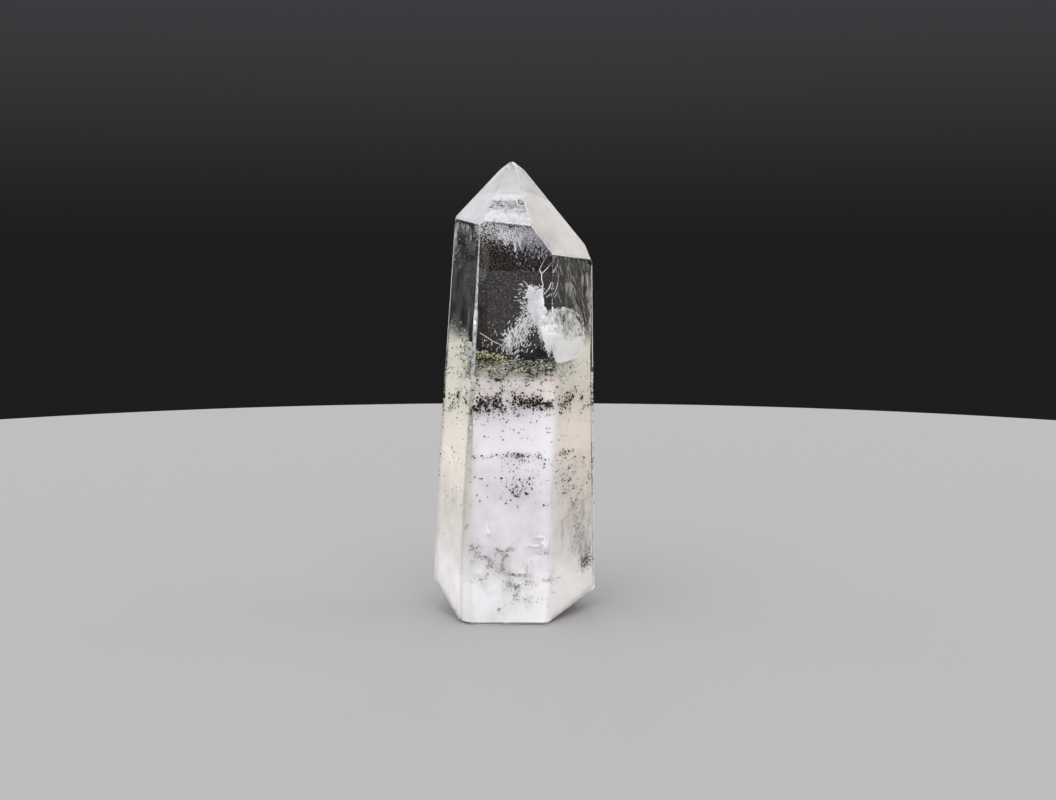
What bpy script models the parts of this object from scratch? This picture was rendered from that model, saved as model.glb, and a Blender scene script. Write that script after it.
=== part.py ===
"""Polished garden quartz point: one clear crystal, ground into a six-sided tower that stands on its cut foot.

Metres, +Z up. The origin is on the table, under the middle of the crystal's box. The broad front face looks along -Y.
The crystal is shaped the way a stone cutter shapes it: a blank is ground back by one flat plane after another.
"""

import math

import bmesh
import bpy
from mathutils import Vector

MM = 0.001

# Driving sizes of the tower
HEIGHT = 80.0 * MM
BLANK_SIZE = 60.0 * MM
BLANK_HEIGHT = 100.0 * MM

# Six long faces: bearing of the outward normal in degrees (0 is +X, 90 is +Y), distance from the axis
# at the foot, and lean inwards in degrees, so that the tower narrows upwards.
LONG_FACES = {
    "front": (266.0, 11.25 * MM, 1.15),
    "right front": (326.0, 11.20 * MM, -0.20),
    "right back": (26.0, 14.10 * MM, 1.45),
    "back": (86.0, 13.30 * MM, 2.30),
    "left back": (158.0, 13.80 * MM, 3.42),
    "left front": (206.0, 12.60 * MM, 2.80),
}
# The arris between the front and the left front face is dressed with a narrow flat that thins upwards.
ARRIS_FLAT = (236.0, 13.10 * MM, 1.78)

# Six crown faces: bearing, slope from the horizontal in degrees, and how far out of the tip each one passes.
TIP = Vector((-0.30 * MM, 0.0, 80.75 * MM))
CROWN_FACES = {
    "front": (271.5, 49.0, -0.10 * MM),
    "right front": (329.0, 56.0, 0.10 * MM),
    "right back": (26.0, 52.5, 0.45 * MM),
    "back": (87.0, 47.0, 0.35 * MM),
    "left back": (146.0, 50.5, 0.10 * MM),
    "left front": (210.5, 51.5, 0.10 * MM),
}

# Bevels around the foot: bearing, how steeply the normal points down, and a point that the plane passes.
FOOT_BEVELS = {
    "right front": (326.0, 2.6, Vector((9.3, -6.2, 7.5)) * MM),
    "right corner": (350.0, 62.0, Vector((5.2, -11.5, 0.0)) * MM),
    "right back": (26.0, 51.0, Vector((13.2, 6.0, 4.2)) * MM),
    "back": (86.0, 46.0, Vector((1.0, 13.7, 2.6)) * MM),
    "left back": (138.0, 50.0, Vector((-5.5, 14.1, 4.6)) * MM),
    "left corner": (168.0, 53.0, Vector((-9.1, -10.5, 0.0)) * MM),
}

# Corners worn round by handling: bearing, slope, and a point that the plane passes.
WORN_CORNERS = {
    "right shoulder": (358.0, 68.0, Vector((13.75, 0.4, 62.6)) * MM),
    "left shoulder": (192.0, 77.0, Vector((-11.0, -1.0, 69.6)) * MM),
}

# The tip is worn to a small dome: the radius of its flat top, and the slope of the six flats around it.
TIP_FLAT = 0.32 * MM
TIP_SLOPE = 37.0
TIP_BEARINGS = (0.0, 60.0, 120.0, 180.0, 240.0, 300.0)

# Hand polishing leaves the left side a little fuller, most of all at a third of the height.
BELLY = 0.55 * MM
BELLY_FOOT = 2.0 * MM
BELLY_TOP = 72.0 * MM
BELLY_SKEW = 0.6
BELLY_STEPS = 12

# Softened arrises: the radius, the number of narrow flats that make it up, and the least turn that is softened
ARRIS_RADIUS = 0.30 * MM
ARRIS_FLATS = 3
ARRIS_ANGLE = math.radians(9.0)

# Two small shell-shaped nicks on the arrises: the middle of the scoop, outside the stone, and its half sizes.
NICKS = {
    "nick on front arris": (Vector((-6.95, -11.25, 52.5)) * MM, Vector((0.70, 0.85, 0.95)) * MM),
    "nick on right arris": (Vector((13.95, -1.90, 52.4)) * MM, Vector((0.75, 0.90, 1.20)) * MM),
}

QUARTZ_COLOUR = (0.86, 0.87, 0.85, 1.0)


def clear_scene():
    for old in list(bpy.data.objects):
        bpy.data.objects.remove(old, do_unlink=True)


def outward(bearing, slope_up):
    """The normal that faces a bearing and points up by slope_up degrees."""
    around = math.radians(bearing)
    up = math.radians(slope_up)
    return Vector((math.cos(around) * math.cos(up), math.sin(around) * math.cos(up), math.sin(up)))


def grind(stone, point, normal):
    """Takes off what lies outside the plane, and closes the cut with one flat face."""
    everything = stone.verts[:] + stone.edges[:] + stone.faces[:]
    cut = bmesh.ops.bisect_plane(
        stone,
        geom=everything,
        dist=1e-7,
        plane_co=point,
        plane_no=normal,
        clear_outer=True,
    )
    rim = [part for part in cut["geom_cut"] if isinstance(part, bmesh.types.BMEdge)]
    if rim:
        bmesh.ops.edgeloop_fill(stone, edges=rim)


def soften_arrises(stone):
    """Grinds each arris round with a few narrow flats, all at one radius from a line inside the stone."""
    flats = []
    for arris in stone.edges:
        first, second = (face.normal for face in arris.link_faces)
        turn = first.angle(second)
        if turn < ARRIS_ANGLE:
            continue
        ridge = (arris.verts[0].co + arris.verts[1].co) / 2
        halfway = (first + second).normalized()
        core = ridge - halfway * (ARRIS_RADIUS / math.cos(turn / 2))
        for flat in range(1, ARRIS_FLATS + 1):
            normal = first.slerp(second, flat / (ARRIS_FLATS + 1))
            flats.append((core + normal * ARRIS_RADIUS, normal))
    for point, normal in flats:
        grind(stone, point, normal)


def score(stone, height):
    """Adds a ring of edges at this height, so that the long faces can curve."""
    everything = stone.verts[:] + stone.edges[:] + stone.faces[:]
    bmesh.ops.bisect_plane(stone, geom=everything, dist=1e-7, plane_co=(0, 0, height), plane_no=(0, 0, 1))


def fill_out_belly(stone):
    """Moves the left side out in a shallow arc between foot and shoulder."""
    right = max(v.co.x for v in stone.verts)
    width = right - min(v.co.x for v in stone.verts)
    for vert in stone.verts:
        way_up = (vert.co.z - BELLY_FOOT) / (BELLY_TOP - BELLY_FOOT)
        if 0.0 < way_up < 1.0:
            share = (right - vert.co.x) / width
            vert.co.x -= BELLY * share * math.sin(math.pi * way_up ** BELLY_SKEW)


def centre_on_table(stone):
    """Sets the origin under the middle of the crystal's box, on the table."""
    xs = [v.co.x for v in stone.verts]
    ys = [v.co.y for v in stone.verts]
    middle = Vector(((min(xs) + max(xs)) / 2, (min(ys) + max(ys)) / 2, 0.0))
    bmesh.ops.translate(stone, vec=-middle, verts=stone.verts[:])


def cut_point():
    """The crystal without its nicks, as a mesh."""
    stone = bmesh.new()
    bmesh.ops.create_cube(stone, size=1.0)
    bmesh.ops.scale(stone, vec=(BLANK_SIZE, BLANK_SIZE, BLANK_HEIGHT), verts=stone.verts[:])
    bmesh.ops.translate(stone, vec=(0, 0, BLANK_HEIGHT / 2), verts=stone.verts[:])

    for bearing, distance, lean in [*LONG_FACES.values(), ARRIS_FLAT]:
        grind(stone, outward(bearing, 0.0) * distance, outward(bearing, lean))
    for bearing, slope, clearance in CROWN_FACES.values():
        normal = outward(bearing, 90.0 - slope)
        grind(stone, TIP + normal * clearance, normal)
    grind(stone, Vector((0, 0, HEIGHT)), Vector((0, 0, 1)))
    for bearing in TIP_BEARINGS:
        top = Vector((TIP.x, TIP.y, HEIGHT))
        grind(stone, top + outward(bearing, 0.0) * TIP_FLAT, outward(bearing, 90.0 - TIP_SLOPE))
    for bearing, down, point in FOOT_BEVELS.values():
        grind(stone, point, outward(bearing, -down))
    for bearing, slope, point in WORN_CORNERS.values():
        grind(stone, point, outward(bearing, 90.0 - slope))
    stone.normal_update()
    soften_arrises(stone)

    for step in range(1, BELLY_STEPS):
        score(stone, BELLY_FOOT + (BELLY_TOP - BELLY_FOOT) * step / BELLY_STEPS)
    fill_out_belly(stone)
    centre_on_table(stone)
    bmesh.ops.recalc_face_normals(stone, faces=stone.faces[:])

    mesh = bpy.data.meshes.new("quartz_point")
    stone.to_mesh(mesh)
    stone.free()
    return mesh


def quartz_material():
    material = bpy.data.materials.new("clear_quartz")
    material.use_nodes = True
    shader = material.node_tree.nodes["Principled BSDF"]
    shader.inputs["Base Color"].default_value = QUARTZ_COLOUR
    shader.inputs["Roughness"].default_value = 0.03
    shader.inputs["Metallic"].default_value = 0.0
    shader.inputs["IOR"].default_value = 1.544
    shader.inputs["Transmission Weight"].default_value = 1.0
    return material


def scoop(name, centre, half_sizes, cutters):
    """A closed pebble form that takes one nick out of an arris."""
    pebble = bmesh.new()
    bmesh.ops.create_icosphere(pebble, subdivisions=2, radius=1.0)
    bmesh.ops.scale(pebble, vec=half_sizes, verts=pebble.verts[:])
    bmesh.ops.translate(pebble, vec=centre, verts=pebble.verts[:])
    mesh = bpy.data.meshes.new(name)
    pebble.to_mesh(mesh)
    pebble.free()
    cutter = bpy.data.objects.new(name, mesh)
    cutter.hide_render = True
    cutter.display_type = "WIRE"
    cutters.objects.link(cutter)
    return cutter


def build():
    clear_scene()
    parts = bpy.data.collections.new("garden_quartz")
    bpy.context.scene.collection.children.link(parts)
    cutters = bpy.data.collections.new("cutters")
    bpy.context.scene.collection.children.link(cutters)

    mesh = cut_point()
    mesh.materials.append(quartz_material())
    point = bpy.data.objects.new("quartz_point", mesh)
    parts.objects.link(point)

    for name, (centre, half_sizes) in NICKS.items():
        bite = point.modifiers.new(name, "BOOLEAN")
        bite.operation = "DIFFERENCE"
        bite.solver = "EXACT"
        bite.object = scoop(name, centre, half_sizes, cutters)
    return point


build()
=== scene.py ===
"""Looks of the polished garden quartz point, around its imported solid. Metres, +Z up, front towards -Y."""
import math
import random

import bmesh
import bpy
import numpy as np
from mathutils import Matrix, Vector, noise


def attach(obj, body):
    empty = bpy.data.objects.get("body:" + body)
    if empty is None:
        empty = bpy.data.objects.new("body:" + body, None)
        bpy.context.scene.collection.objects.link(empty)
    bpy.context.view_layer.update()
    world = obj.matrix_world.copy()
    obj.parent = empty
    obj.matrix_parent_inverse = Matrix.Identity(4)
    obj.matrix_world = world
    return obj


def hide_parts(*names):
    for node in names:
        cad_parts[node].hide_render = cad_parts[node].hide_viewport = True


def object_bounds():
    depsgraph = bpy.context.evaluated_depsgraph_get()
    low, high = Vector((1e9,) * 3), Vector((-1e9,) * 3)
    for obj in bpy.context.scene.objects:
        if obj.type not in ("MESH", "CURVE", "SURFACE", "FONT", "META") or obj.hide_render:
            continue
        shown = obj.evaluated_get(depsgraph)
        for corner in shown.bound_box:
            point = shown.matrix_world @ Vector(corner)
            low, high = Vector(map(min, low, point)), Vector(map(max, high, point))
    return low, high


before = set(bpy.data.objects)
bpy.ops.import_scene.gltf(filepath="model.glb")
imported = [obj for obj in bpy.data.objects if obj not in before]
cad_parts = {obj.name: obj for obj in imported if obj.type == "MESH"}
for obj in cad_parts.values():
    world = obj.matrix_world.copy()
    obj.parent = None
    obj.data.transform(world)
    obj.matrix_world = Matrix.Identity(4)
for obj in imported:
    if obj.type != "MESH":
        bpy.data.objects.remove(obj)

cad_low, cad_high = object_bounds()
MM = 0.001


# The viewpoint: a lens a little longer than normal, about 28 cm away and level with the stone's shoulder,
# looking down by six degrees, so that the foot is seen from above and the tip slightly from below.
CAMERA_AT = Vector((2.4, -283.8, 67.85)) * MM
CAMERA_DOWN = math.radians(6.0)
CAMERA_RANGE = (10 * MM, 8.0)
LENS = 54.545


def set_out(name, data):
    """A new object in the scene, at the origin, with this lens or mesh."""
    thing = bpy.data.objects.new(name, data)
    bpy.context.scene.collection.objects.link(thing)
    return thing


eye = bpy.data.cameras.new("eye")
eye.lens = LENS
eye.clip_start, eye.clip_end = CAMERA_RANGE
camera = set_out("camera", eye)
camera.location = CAMERA_AT
camera.rotation_euler = (math.radians(90.0) - CAMERA_DOWN, 0.0, 0.0)
bpy.context.scene.camera = camera
bpy.context.scene.view_settings.view_transform = "Standard"


# The surroundings: a plain studio. A dark wall stands low down all round, so that the clear upper half of the
# stone shows dark, with a white ceiling, a large white diffuser in front, and a warm one at each side.
WALL_DARK = (0.0130, 0.0125, 0.0125, 1.0)
WALL_GREY = (0.045, 0.046, 0.050, 1.0)
CEILING_LIGHT = (1.40, 1.42, 1.48, 1.0)
# Where the wall turns grey and where the ceiling begins, as the sine of the height above level.
GREY_RISE = (-0.02, 0.16)
CEILING_RISE = (0.22, 0.45)
# Each diffuser: bearing and height of its middle in degrees, half its width in degrees, and its light.
DIFFUSERS = {
    "front": (258.0, 50.0, 40.0, (5.0, 4.95, 5.25, 1.0)),
    "right": (0.0, 26.0, 34.0, (2.85, 2.55, 2.25, 1.0)),
    "left": (176.0, 26.0, 34.0, (2.75, 2.55, 2.25, 1.0)),
}
DIFFUSER_EDGE = 12.0


class Signal:
    """A number on its way through a material or a mesh tree, with the arithmetic that its maths needs."""

    def __init__(self, tree, socket):
        self.tree = tree
        self.socket = socket

    def maths(self, operation, first, second=0.0):
        return add(self.tree, "ShaderNodeMath", {"operation": operation}, {0: first, 1: second})

    def __add__(self, other):
        return self.maths("ADD", self, other)

    def __sub__(self, other):
        return self.maths("SUBTRACT", self, other)

    def __rsub__(self, other):
        return self.maths("SUBTRACT", other, self)

    def __mul__(self, other):
        return self.maths("MULTIPLY", self, other)

    __radd__ = __add__
    __rmul__ = __mul__

    def step(self, low, high):
        """0 below low, 1 above high, and a soft rise between them."""
        return add(self.tree, "ShaderNodeMapRange", {"interpolation_type": "SMOOTHSTEP"},
                   {"Value": self, "From Min": low, "From Max": high})

    def axis(self, name):
        """One coordinate of a vector: X, Y or Z."""
        return add(self.tree, "ShaderNodeSeparateXYZ", inputs={"Vector": self}, take=name)


def feed(tree, socket, value):
    """Gives a socket its link or its plain value."""
    if isinstance(value, Signal):
        tree.links.new(value.socket, socket)
    else:
        socket.default_value = value


def add(tree, kind, settings=None, inputs=None, take=0):
    """One node of any kind: its settings first, then its sockets. Gives back the output that is asked for."""
    node = tree.nodes.new(kind)
    for name, value in (settings or {}).items():
        setattr(node, name, value)
    for name, value in (inputs or {}).items():
        feed(tree, node.inputs[name], value)
    return Signal(tree, node.outputs[take]) if len(node.outputs) else None


def blend_colours(mask, dark, light):
    """The first colour where the mask is 0 and the second where it is 1."""
    return add(mask.tree, "ShaderNodeMix", {"data_type": "RGBA"}, {"Factor": mask, 6: dark, 7: light}, take=2)


def towards(bearing, rise):
    """The unit vector that looks along a bearing (0 is +X, 90 is +Y) and up by rise, both in degrees."""
    around, up = math.radians(bearing), math.radians(rise)
    return Vector((math.cos(around) * math.cos(up), math.sin(around) * math.cos(up), math.sin(up)))


studio = bpy.data.worlds.new("studio")
studio.use_nodes = True
sky = studio.node_tree
sky.nodes.clear()
look = add(sky, "ShaderNodeTexCoord", take="Generated")
rise = look.axis("Z")
shine = blend_colours(rise.step(*GREY_RISE), WALL_DARK, WALL_GREY)
shine = blend_colours(rise.step(*CEILING_RISE), shine, CEILING_LIGHT)
for bearing, middle, half_width, light in DIFFUSERS.values():
    facing = add(sky, "ShaderNodeVectorMath", {"operation": "DOT_PRODUCT"},
                 {0: look, 1: towards(bearing, middle)}, take="Value")
    rim = math.cos(math.radians(half_width))
    core = math.cos(math.radians(half_width - DIFFUSER_EDGE))
    shine = blend_colours(facing.step(rim, core), shine, light)
background = add(sky, "ShaderNodeBackground", inputs={"Color": shine, "Strength": 1.0})
add(sky, "ShaderNodeOutputWorld", inputs={"Surface": background})
bpy.context.scene.world = studio


# The floor: a plain pale round table top with a dull paint. It lies just under the crystal's cut foot, and
# its edge is far away on every side.
TABLE_RADIUS = 350 * MM
TABLE_THICK = 12 * MM
TABLE_GAP = 0.02 * MM
TABLE_SIDES = 160
TABLE_COLOUR = (0.20, 0.20, 0.20, 1.0)


def new_material(name):
    """An empty material, and its tree."""
    material = bpy.data.materials.new(name)
    material.use_nodes = True
    material.node_tree.nodes.clear()
    return material, material.node_tree


def show(tree, surface, **others):
    """Ends a material: its shader, and a volume where there is one."""
    add(tree, "ShaderNodeOutputMaterial", inputs={"Surface": surface, **others})


def as_mesh(name, made):
    """The finished mesh of what was made, which is then let go."""
    mesh = bpy.data.meshes.new(name)
    made.to_mesh(mesh)
    made.free()
    return mesh


disc = bmesh.new()
bmesh.ops.create_cone(disc, cap_ends=True, segments=TABLE_SIDES, radius1=TABLE_RADIUS, radius2=TABLE_RADIUS,
                      depth=TABLE_THICK)
bmesh.ops.translate(disc, vec=(0, 0, -TABLE_THICK / 2 - TABLE_GAP), verts=disc.verts[:])
table_mesh = as_mesh("table_top", disc)
table = set_out("table_top", table_mesh)
pale_paint, paint = new_material("pale_paint")
show(paint, add(paint, "ShaderNodeBsdfPrincipled",
                inputs={"Base Color": TABLE_COLOUR, "Roughness": 0.55, "Specular IOR Level": 0.3}))
table_mesh.materials.append(pale_paint)


# The crystal: one clear quartz point, sawn, ground and polished on every face. The visible piece is the
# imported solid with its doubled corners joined. Its facets are bright, and the dressed flat, the handled
# arrises and the two nicks are matt.
QUARTZ_IOR = 1.544
QUARTZ_TINT = (0.93, 0.925, 0.90, 1.0)
QUARTZ_DEPTH = 3.0
COLOURLESS = (1.0, 1.0, 1.0, 1.0)
JOIN_WITHIN = 0.001 * MM
CREASE = math.radians(7.0)
# A polished facet has at least this much area in one direction, and an arris turns away from it by more.
FACET_AREA = 9.0 * MM * MM
ARRIS_TURN = math.radians(4.0)
# The narrow flat that was ground along the arris beside the front face: where it looks, and how far one of
# its faces may turn from there.
GROUND_FLAT = towards(236.0, 2.0)
GROUND_TURN = math.radians(6.0)
# The handled arrises: those at the two sides below the shoulders, and those on the front of the crown.
SIDE_FROM = 9.5 * MM
SIDE_TOP = 64 * MM
RIDGE_FRONT = -0.5 * MM
RIDGE_FOOT = 67.5 * MM
RIDGE_BEARINGS = (262, 325)
# The two nicks: where each one is, and how far its crushed surface reaches.
NICKS = (Vector((-6.9, -10.8, 52.5)) * MM, Vector((13.6, -1.8, 52.4)) * MM)
NICK_SIZE = 1.1 * MM
# The places of the three finishes in the crystal's list of materials.
POLISHED, MATT, CRUSHED = 0, 1, 2
# Handling has worn the arrises in two steps upwards. The worn ones turn from dull to white upwards, which is
# painted shade low down and a painted highlight higher up.
WORN_LOW = (21 * MM, 36 * MM)
WORN_HIGH = (42 * MM, 54 * MM)
LIT_FROM = (38 * MM, 43 * MM)
FROST_SHADED = (0.13, 0.13, 0.12, 1.0)
FROST_LIT = (0.72, 0.73, 0.72, 1.0)
GRIT_SIZE = 0.7 * MM

stone = bmesh.new()
stone.from_mesh(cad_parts["quartz_point"].data)
bmesh.ops.remove_doubles(stone, verts=stone.verts[:], dist=JOIN_WITHIN)
stone.normal_update()

areas = {}
for face in stone.faces:
    way = tuple(round(part, 2) for part in face.normal)
    areas[way] = areas.get(way, 0.0) + face.calc_area()
facets = np.array([way for way, area in areas.items() if area > FACET_AREA])
facets /= np.linalg.norm(facets, axis=1)[:, None]
for face in stone.faces:
    nearest = float((facets @ np.array(face.normal)).max())
    turned = math.acos(min(1.0, nearest)) > ARRIS_TURN
    middle = face.calc_center_median()
    side = abs(middle.x) > SIDE_FROM and middle.z < SIDE_TOP
    bearing = math.degrees(math.atan2(*face.normal.yx)) % 360
    on_crown = middle.y < RIDGE_FRONT and middle.z > RIDGE_FOOT
    ridge = on_crown and RIDGE_BEARINGS[0] < bearing < RIDGE_BEARINGS[1]
    handled = turned and (side or ridge)
    ground = face.normal.angle(GROUND_FLAT) < GROUND_TURN
    nicked = turned and min((middle - nick).length for nick in NICKS) < NICK_SIZE
    face.material_index = CRUSHED if nicked else MATT if ground or handled else POLISHED

stone_mesh = bpy.data.meshes.new("polished_point")
stone.to_mesh(stone_mesh)
stone_mesh.shade_smooth()
stone_mesh.set_sharp_from_angle(angle=CREASE)
point = set_out("polished_point", stone_mesh)


def polished(tree):
    """Bare polished quartz, which shows all that lies behind it."""
    return add(tree, "ShaderNodeBsdfPrincipled",
               inputs={"Base Color": COLOURLESS, "Roughness": 0.0, "IOR": QUARTZ_IOR,
                       "Transmission Weight": 1.0})


def show_quartz(tree, surface):
    """Ends a quartz material: its surface, and the faint tint that the quartz takes on with its depth."""
    tint = add(tree, "ShaderNodeVolumeAbsorption", inputs={"Color": QUARTZ_TINT, "Density": QUARTZ_DEPTH})
    show(tree, surface, Volume=tint)


clear_quartz, clear = new_material("clear_quartz")
show_quartz(clear, polished(clear))

ground_quartz, matt = new_material("ground_quartz")
where = add(matt, "ShaderNodeTexCoord", take="Object")
level = where.axis("Z")
grit = add(matt, "ShaderNodeTexNoise", inputs={"Vector": where, "Scale": 1.0 / GRIT_SIZE, "Detail": 2.0})
# The frost's tone is painted: dark where it lies in shade low down, white where it catches the light higher
# up.
painted_frost_tone = blend_colours(level.step(*LIT_FROM), FROST_SHADED, FROST_LIT)
frost = add(matt, "ShaderNodeBsdfPrincipled",
            inputs={"Base Color": painted_frost_tone, "Roughness": 0.5, "IOR": QUARTZ_IOR,
                    "Transmission Weight": 0.35})
handling = level.step(*WORN_LOW) * 0.6 + level.step(*WORN_HIGH) * 0.4
worn = handling * (grit.step(0.38, 0.62) * 0.45 + 0.35)
show_quartz(matt, add(matt, "ShaderNodeMixShader", inputs={0: worn, 1: polished(matt), 2: frost}))

crushed_quartz, powder = new_material("crushed_quartz")
white = add(powder, "ShaderNodeBsdfPrincipled", inputs={"Base Color": COLOURLESS, "Roughness": 0.8})
show_quartz(powder, white)

for quartz in (clear_quartz, ground_quartz, crushed_quartz):
    stone_mesh.materials.append(quartz)
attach(point, "root")
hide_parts("quartz_point")


# The milky phantom: while the crystal grew, a pale haze settled on its faces and was grown over. It follows
# the faces a little way in, is cloudy and uneven, and fades out above the green bed, higher up at the sides.
# How far inside the faces it lies: in the lower half, and from the green bed upwards.
PHANTOM_INSET = (0.75 * MM, 1.60 * MM)
PHANTOM_STEP = (31 * MM, 36 * MM)
# Along the two outer arrises it comes close to the surface at every height.
EDGE_TURN = (0.90, 0.97)
EDGE_INSET = 0.80 * MM
PHANTOM_FOOT = 0.4 * MM
PHANTOM_TOP = 56.0 * MM
PHANTOM_RINGS = 70
HAZE_SPOKES = 120
HAZE_FOOT = (1.0, 1.0, 1.0, 1.0)
# Behind the front, right and left faces the haze is tinted lavender, beige and cream: painted light, for the
# light that comes in through each face.
HAZE_FRONT_PAINTED_LIGHT = (0.98, 0.95, 0.99, 1.0)
HAZE_RIGHT_PAINTED_LIGHT = (0.92, 0.87, 0.80, 1.0)
HAZE_LEFT_PAINTED_LIGHT = (0.97, 0.94, 0.87, 1.0)
HAZE_PINK = (1.0, 0.93, 0.90, 1.0)
HAZE_MOSSY = (0.93, 0.93, 0.83, 1.0)
# Where the front face ends on the left and on the right, and how far back the side faces are seen.
LEFT_EDGE = (-7.4 * MM, -6.6 * MM)
RIGHT_EDGE = (6.3 * MM, 7.3 * MM)
BACK_EDGE = (1 * MM, 5 * MM)
# The levels between which it fades out, behind the front face and behind the side faces.
FRONT_FADE = (41.5 * MM, 45.5 * MM)
SIDE_FADE = (47.0 * MM, 52.5 * MM)
# The levels between which it thins upwards from the foot, and thickens again towards the bed.
FOOT_THINS = (3 * MM, 16 * MM)
BED_THICKENS = (18 * MM, 36 * MM)
# The levels between which one tint gives way to the next.
WHITE_ENDS = (4 * MM, 16 * MM)
PINK_BEGINS = (35 * MM, 41 * MM)
MOSSY_BEGINS = (36 * MM, 47 * MM)
# Only faces of at least this area, this far from the middle, count as walls of the crystal.
SLIVER = 0.02 * MM * MM
NEAREST_WALL = 8 * MM

hull = bmesh.ops.convex_hull(stone, input=stone.verts[:], use_existing_faces=False)
skin = [part for part in hull["geom"] if isinstance(part, bmesh.types.BMFace) and part.calc_area() > SLIVER]
walls = np.array([face.normal for face in skin])
wall_offsets = np.array([face.normal.dot(face.verts[0].co) for face in skin])
sound = wall_offsets - walls[:, 2] * (cad_low[2] + cad_high[2]) / 2 > NEAREST_WALL
walls, wall_offsets = walls[sound], wall_offsets[sound]
stone.free()


def is_inside(spots, margin):
    """Which of the points lie inside the crystal, at least the margin away from every face."""
    return ((np.asarray(spots) @ walls.T - wall_offsets).max(axis=1)) < -margin


def reach(bearing, height):
    """How far out the crystal reaches from its axis, on this bearing in degrees, at this height."""
    way = walls @ np.array(towards(bearing, 0.0))
    limits = wall_offsets - walls[:, 2] * height
    outwards = way > 0.05
    return float((limits[outwards] / way[outwards]).min())


def front_at(x, z):
    """The y of the crystal's surface that faces the viewer, at this x and z."""
    facing = walls[:, 1] < -1e-3
    limits = (wall_offsets - walls[:, 0] * x - walls[:, 2] * z) / np.where(facing, walls[:, 1], -1.0)
    return float(limits[facing].max())


def place(mesh, name, material):
    """Puts a finished mesh into the crystal as a piece with its material."""
    piece = set_out(name, mesh)
    mesh.materials.clear()
    mesh.materials.append(material)
    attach(piece, "root")
    return piece


def cloud(tree, where, size, detail=3.0, roughness=0.55):
    """Noise between 0 and 1 whose patches are about this size."""
    return add(tree, "ShaderNodeTexNoise",
               inputs={"Vector": where, "Scale": 1.0 / size, "Detail": detail, "Roughness": roughness})


def show_faint(tree, colour, thickness):
    """Ends a material that is a dull veil: its colour, and how thick it is from clear at 0 to solid at 1."""
    show(tree, add(tree, "ShaderNodeBsdfPrincipled",
                   inputs={"Base Color": colour, "Roughness": 1.0, "Specular IOR Level": 0.0,
                           "Alpha": thickness}))


milk, milk_tree = new_material("milky_haze")
where = add(milk_tree, "ShaderNodeTexCoord", take="Object")
across, deep, height = (where.axis(name) for name in "XYZ")
clouds = cloud(milk_tree, where, 9 * MM)
wisps = cloud(milk_tree, where, 2.2 * MM)
level = height + (clouds - 0.5) * (6 * MM)
on_left = 1 - across.step(*LEFT_EDGE)
on_right = across.step(*RIGHT_EDGE)
on_sides = on_left + on_right
outside = on_sides * (1 - deep.step(*BACK_EDGE))
front_top = 1 - level.step(*FRONT_FADE)
side_top = 1 - level.step(*SIDE_FADE)
top_fade = front_top * (1 - outside) + side_top * outside
densest = (1 - height.step(*FOOT_THINS)) * 0.3 + height.step(*BED_THICKENS) * 0.35
thickness = top_fade * ((clouds * 0.45 + wisps * 0.25) + 0.36 + densest)
mossy_level = height + (wisps - 0.5) * (12 * MM)
foot_level = height + (clouds - 0.5) * (9 * MM) - on_sides * (5 * MM)
# Painted light: the haze takes the tint of the light behind each face.
tints = blend_colours(on_left, HAZE_FRONT_PAINTED_LIGHT, HAZE_LEFT_PAINTED_LIGHT)
tints = blend_colours(on_right, tints, HAZE_RIGHT_PAINTED_LIGHT)
tints = blend_colours((1 - outside) * level.step(*PINK_BEGINS), tints, HAZE_PINK)
tints = blend_colours(outside * mossy_level.step(*MOSSY_BEGINS), tints, HAZE_MOSSY)
tints = blend_colours(foot_level.step(*WHITE_ENDS), HAZE_FOOT, tints)
show_faint(milk_tree, tints, thickness)


def haze_shell(name, foot, top, ring_count, inset, wobble, material):
    """A thin wavy shell that follows the crystal's faces a little way in, open at its foot and top."""
    made = bmesh.new()
    rings = []
    for ring in range(ring_count + 1):
        level = foot + (top - foot) * ring / ring_count
        corners = []
        for spoke in range(HAZE_SPOKES):
            bearing = 360.0 * spoke / HAZE_SPOKES
            swell = noise.noise(towards(bearing, 0.0) * 3 + Vector((0, 0, level / (6 * MM))))
            sideways = np.interp(abs(math.cos(math.radians(bearing))), EDGE_TURN, (0.0, 1.0))
            deeper = np.interp(level, PHANTOM_STEP, inset)
            deeper += sideways * (min(deeper, EDGE_INSET) - deeper)
            out = max(0.1 * MM, reach(bearing, level) - deeper - wobble * (1 + swell))
            corners.append(made.verts.new(towards(bearing, 0.0) * out + Vector((0, 0, level))))
        rings.append(corners)
    for lower, upper in zip(rings, rings[1:]):
        for spoke in range(HAZE_SPOKES):
            after = (spoke + 1) % HAZE_SPOKES
            made.faces.new((lower[spoke], lower[after], upper[after], upper[spoke]))
    mesh = as_mesh(name, made)
    mesh.shade_smooth()
    return place(mesh, name, material)


haze_shell("milky_phantom", PHANTOM_FOOT, PHANTOM_TOP, PHANTOM_RINGS, PHANTOM_INSET, 0.15 * MM, milk)


# The milky tip: the same haze lies just inside the six faces of the crown and makes the tip look pearly. It
# is cloudy. Its tones are painted shade and painted light: grey at the left, palest in the middle and warmer
# on the right.
TIP_FOOT = 61.5 * MM
TIP_TOP = 79.5 * MM
TIP_RINGS = 40
TIP_INSET = (0.30 * MM, 0.30 * MM)
CROWN_SLOPE = (0.25, 0.45)
# The three tones from left to right: painted shade, then painted light in the middle and at the right.
PEARL_SHADED_LEFT = (0.56, 0.58, 0.61, 1.0)
PEARL_LIT_MIDDLE = (0.76, 0.77, 0.78, 1.0)
PEARL_LIT_RIGHT = (0.63, 0.59, 0.52, 1.0)
# Where the first tint gives way to the second, and the second to the third, from left to right.
LIT_MIDDLE_FROM = (-6.5 * MM, -3.5 * MM)
LIT_RIGHT_FROM = (0.5 * MM, 3.5 * MM)

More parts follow.
